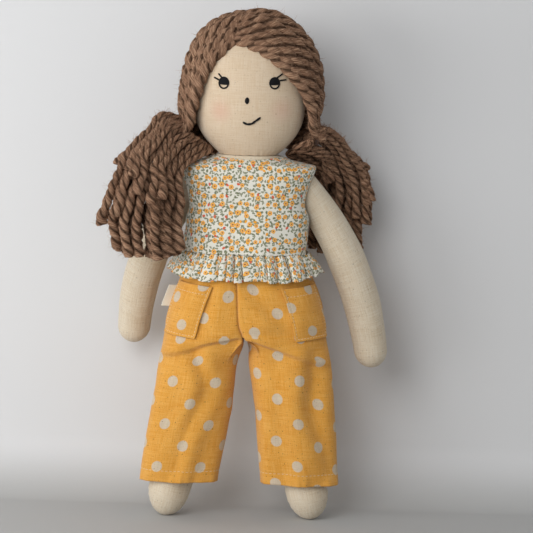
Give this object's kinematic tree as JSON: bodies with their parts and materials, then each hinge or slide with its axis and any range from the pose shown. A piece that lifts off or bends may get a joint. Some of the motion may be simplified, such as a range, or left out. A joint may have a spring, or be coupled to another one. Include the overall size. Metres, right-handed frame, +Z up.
{
  "type": "rag doll",
  "caption": "Stuffed calico rag doll with yarn pigtails, a sleeveless floral blouse with a gathered ruffle, and dotted trousers with patch pockets.",
  "frame": {"origin": "on the floor under the middle of the doll's bounding box, level with the soles", "axes": "+Z up the standing doll, from its feet to its head; the face looks towards -Y; the doll's right hand is at -X"},
  "size_m": [0.2464, 0.1306, 0.4197],
  "materials": {
    "calico": "unbleached cotton calico with specks",
    "stuffing": "white polyester fibrefill",
    "floral_cotton": "off-white cotton with a small scattered flower print",
    "dotted_cotton": "amber cotton linen with beige dots",
    "yarn": "brown two-ply chunky wool yarn",
    "black_thread": "black embroidery thread",
    "elastic": "woven white elastic",
    "ribbon": "cream folded ribbon",
    "button": "cream sewing button"
  },
  "bodies": {
    "torso": {"torso_skin": "calico", "torso_stuffing": "stuffing", "head_skin": "calico", "head_stuffing": "stuffing", "blouse_front": "floral_cotton", "blouse_back_left": "floral_cotton", "blouse_back_right": "floral_cotton", "blouse_ruffle": "floral_cotton", "blouse_button": "button", "trouser_seat_left": "dotted_cotton", "trouser_hip_left": "dotted_cotton", "trouser_seat_right": "dotted_cotton", "trouser_hip_right": "dotted_cotton", "waist_elastic": "elastic", "pocket_left": "dotted_cotton", "pocket_right": "dotted_cotton", "eye_left": "black_thread", "eye_right": "black_thread", "nose_stitch": "black_thread", "mouth_stitch": "black_thread", "hair_left": "yarn", "hair_right": "yarn", "parting_tape": "yarn", "hair_tie_left": "elastic", "hair_tie_right": "elastic"},
    "arm_left": {"arm_left_skin": "calico", "arm_left_stuffing": "stuffing"},
    "arm_right": {"arm_right_skin": "calico", "arm_right_stuffing": "stuffing"},
    "leg_left": {"leg_left_skin": "calico", "leg_left_stuffing": "stuffing", "trouser_leg_left": "dotted_cotton"},
    "leg_right": {"leg_right_skin": "calico", "leg_right_stuffing": "stuffing", "trouser_leg_right": "dotted_cotton"},
    "pigtail_left": {"pigtail_left": "yarn"},
    "pigtail_right": {"pigtail_right": "yarn"},
    "side_tag": {"side_tag": "ribbon"}
  },
  "joints": [
    {"name": "arm_left_raise", "type": "hinge", "parent": "torso", "child": "arm_left", "pos_m": [-0.04518, -0.00433, 0.277], "axis": [0, 1, 0], "range_deg": [0, 60]},
    {"name": "arm_right_raise", "type": "hinge", "parent": "torso", "child": "arm_right", "pos_m": [0.04682, -0.00433, 0.277], "axis": [0, -1, 0], "range_deg": [0, 60]},
    {"name": "leg_left_swing", "type": "hinge", "parent": "torso", "child": "leg_left", "pos_m": [-0.02618, -0.00433, 0.15], "axis": [-1, 0, 0], "range_deg": [-20, 90], "deforming": ["trouser_hip_left", "pocket_left"]},
    {"name": "leg_right_swing", "type": "hinge", "parent": "torso", "child": "leg_right", "pos_m": [0.02782, -0.00433, 0.15], "axis": [-1, 0, 0], "range_deg": [-20, 90], "deforming": ["trouser_hip_right", "pocket_right"]},
    {"name": "pigtail_left_swing", "type": "hinge", "parent": "torso", "child": "pigtail_left", "pos_m": [-0.05218, -0.00433, 0.321], "axis": [-1, 0, 0], "range_deg": [0, 60]},
    {"name": "pigtail_right_swing", "type": "hinge", "parent": "torso", "child": "pigtail_right", "pos_m": [0.05382, -0.00433, 0.321], "axis": [1, 0, 0], "range_deg": [0, 60]},
    {"name": "side_tag_flap", "type": "hinge", "parent": "torso", "child": "side_tag", "pos_m": [-0.06396, -0.00433, 0.185], "axis": [0, 0, 1], "range_deg": [-35, 35]}
  ]
}
